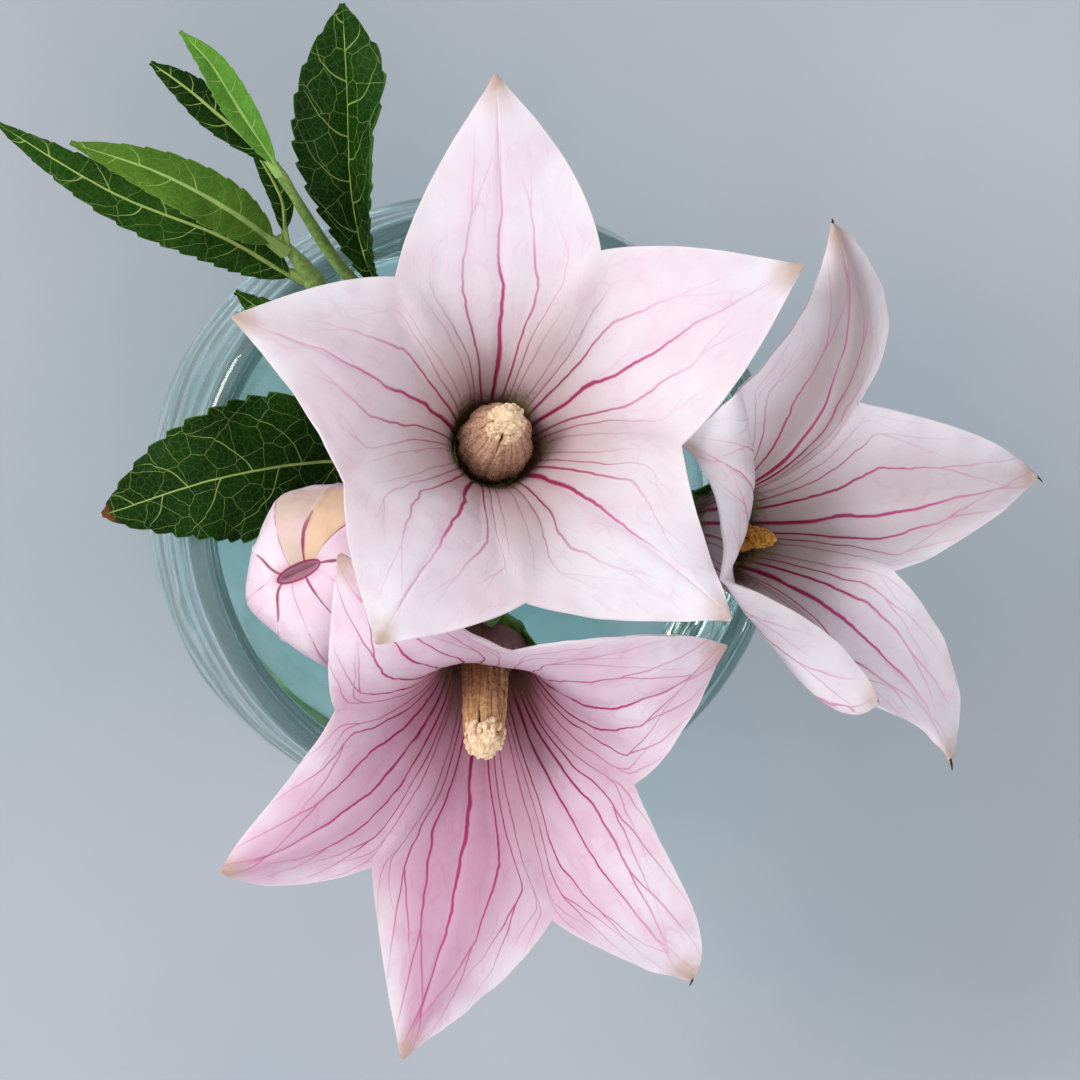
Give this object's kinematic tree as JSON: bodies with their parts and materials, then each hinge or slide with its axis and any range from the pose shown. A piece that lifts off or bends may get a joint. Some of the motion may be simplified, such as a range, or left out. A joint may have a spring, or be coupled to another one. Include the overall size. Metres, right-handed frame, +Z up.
{
  "type": "balloon flowers in glass bowl",
  "caption": "Pale pink balloon flowers with a half-open bud and serrated leaves, their cut stems standing in water in a low, thick, teal-tinted glass bowl.",
  "frame": {"origin": "centre of the bowl's flat foot", "axes": "+Z up, +X towards the flower that leans over the right side of the bowl, +Y away from the flower that leans over the front"},
  "size_m": [0.1371, 0.1358, 0.0957],
  "materials": {
    "bowl_glass": "thick clear teal-tinted glass with soft ripples",
    "water": "still clear water",
    "top_petals": "matte, almost white with crimson veins",
    "front_petals": "matte rose pink with crimson veins",
    "right_petals": "matte mauve pink with crimson veins",
    "bud_petals": "matte pink, cream towards one side",
    "calyx_green": "satin green plant tissue",
    "stem_green": "satin green plant tissue",
    "stamen": "dry, hairy tan brown",
    "style": "crumbly cream pollen",
    "leaf_dark": "semi-gloss dark green with pale veins",
    "leaf_pale": "matte grey-green underside",
    "leaf_young": "satin light green"
  },
  "bodies": {
    "root": {"glass_bowl": "bowl_glass", "water": "water", "top_flower_corolla": "top_petals", "top_flower_calyx": "calyx_green", "top_flower_stamen_1": "stamen", "top_flower_stamen_2": "stamen", "top_flower_stamen_3": "stamen", "top_flower_stamen_4": "stamen", "top_flower_stamen_5": "stamen", "top_flower_style": "style", "top_flower_stem": "stem_green", "front_flower_corolla": "front_petals", "front_flower_calyx": "calyx_green", "front_flower_stamen_1": "stamen", "front_flower_stamen_2": "stamen", "front_flower_stamen_3": "stamen", "front_flower_stamen_4": "stamen", "front_flower_stamen_5": "stamen", "front_flower_style": "style", "front_flower_stem": "stem_green", "right_flower_corolla": "right_petals", "right_flower_calyx": "calyx_green", "right_flower_stamen_1": "stamen", "right_flower_stamen_2": "stamen", "right_flower_stamen_3": "stamen", "right_flower_stamen_4": "stamen", "right_flower_stamen_5": "stamen", "right_flower_style": "style", "right_flower_stem": "stem_green", "bud_corolla": "bud_petals", "bud_calyx": "calyx_green", "bud_stem": "stem_green", "leafy_stem": "stem_green", "sprig_stem": "stem_green", "broad_left_leaf": "leaf_dark", "tucked_leaf": "leaf_dark", "tall_leaf": "leaf_dark", "long_lower_leaf": "leaf_dark", "sprig_dark_leaf": "leaf_dark", "small_dark_leaf": "leaf_dark", "long_upper_leaf": "leaf_pale", "sprig_light_leaf": "leaf_young"}
  },
  "joints": []
}
